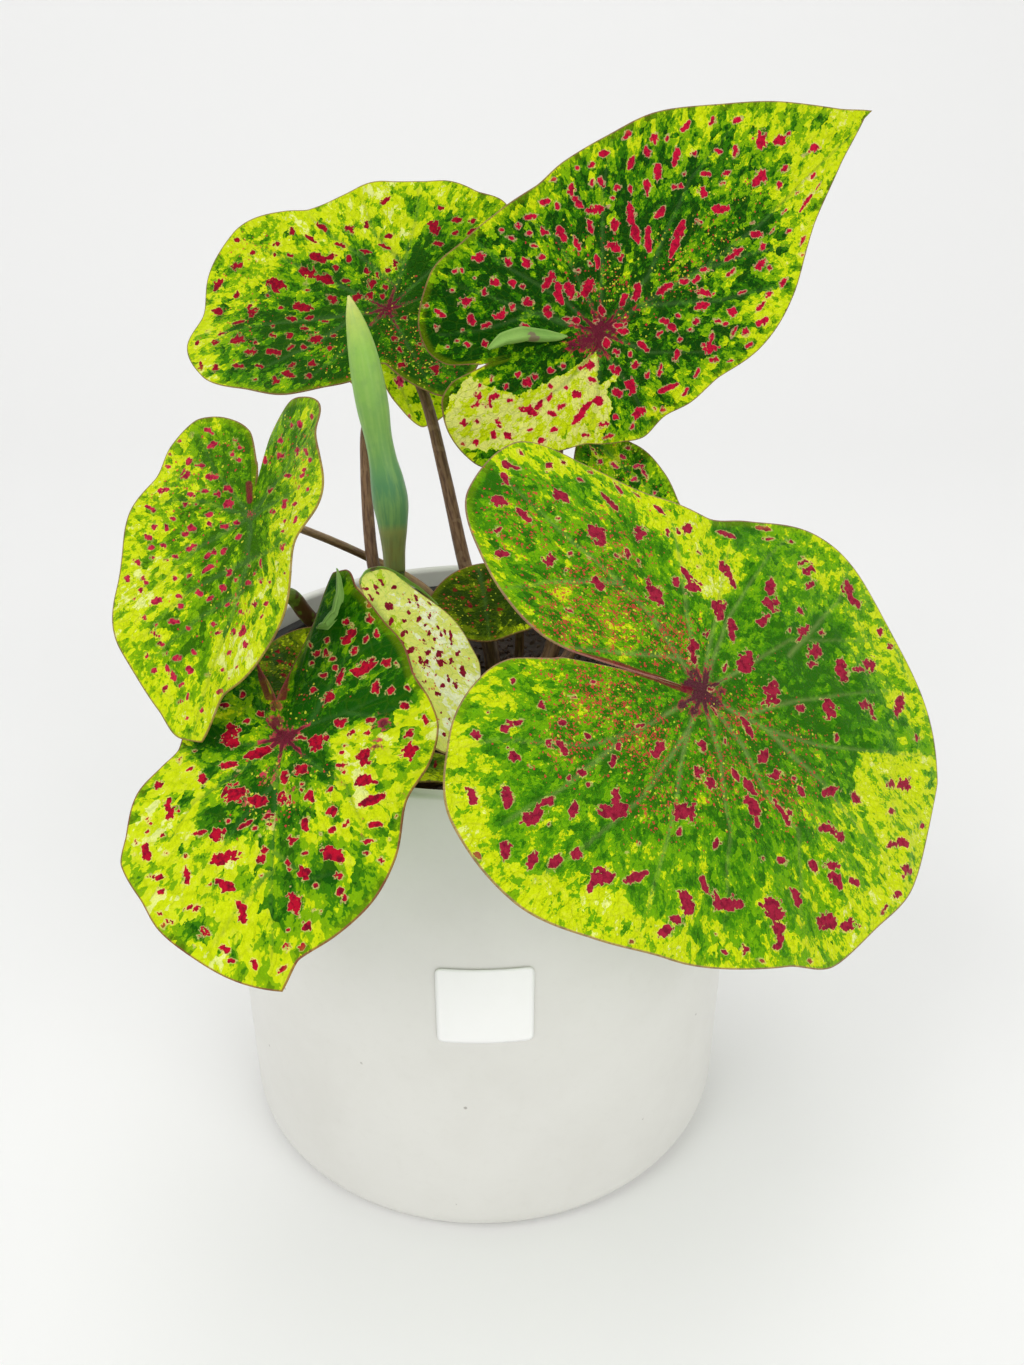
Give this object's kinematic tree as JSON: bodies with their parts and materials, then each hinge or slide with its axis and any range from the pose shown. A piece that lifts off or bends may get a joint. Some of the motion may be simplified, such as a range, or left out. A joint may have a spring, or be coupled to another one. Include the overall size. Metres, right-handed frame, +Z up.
{
  "type": "potted caladium plant",
  "caption": "Caladium with large spotted heart-shaped leaves and a rolled flower bud, growing in a nursery pot inside a plain round cover pot.",
  "frame": {"origin": "centre of the cover pot's flat underside, on the surface that it stands on", "axes": "+Z up along the pot's axis, -Y towards the front of the plant, +X to its right"},
  "size_m": [0.2059, 0.2233, 0.2661],
  "materials": {
    "pot_white": "smooth satin off-white ceramic",
    "label_paper": "blank white paper label, slightly glossy",
    "pot_black": "thin black moulded plastic",
    "soil": null,
    "tuber": null,
    "leaf_green": null,
    "leaf_lime": null,
    "leaf_cream": null,
    "leaf_olive": null,
    "stalk_brown": null,
    "stalk_green": null,
    "bud_green": null
  },
  "bodies": {
    "root": {"cover_pot": "pot_white", "label": "label_paper", "nursery_pot": "pot_black", "soil": "soil", "tuber": "tuber", "leaf_top_right_blade": "leaf_green", "leaf_top_right_stalk": "stalk_brown", "leaf_top_left_blade": "leaf_lime", "leaf_top_left_stalk": "stalk_brown", "leaf_left_blade": "leaf_lime", "leaf_left_stalk": "stalk_brown", "leaf_front_left_blade": "leaf_lime", "leaf_front_left_stalk": "stalk_green", "leaf_front_right_blade": "leaf_green", "leaf_front_right_stalk": "stalk_green", "leaf_cream_blade": "leaf_cream", "leaf_cream_stalk": "stalk_green", "leaf_inner_back_blade": "leaf_olive", "leaf_inner_back_stalk": "stalk_brown", "leaf_back_blade": "leaf_lime", "leaf_back_stalk": "stalk_brown", "leaf_back_right_blade": "leaf_green", "leaf_back_right_stalk": "stalk_brown", "leaf_under_left_blade": "leaf_olive", "leaf_under_left_stalk": "stalk_brown", "leaf_under_front_blade": "leaf_olive", "leaf_under_front_stalk": "stalk_brown", "flower_bud": "bud_green", "flower_stalk": "stalk_green"}
  },
  "joints": []
}
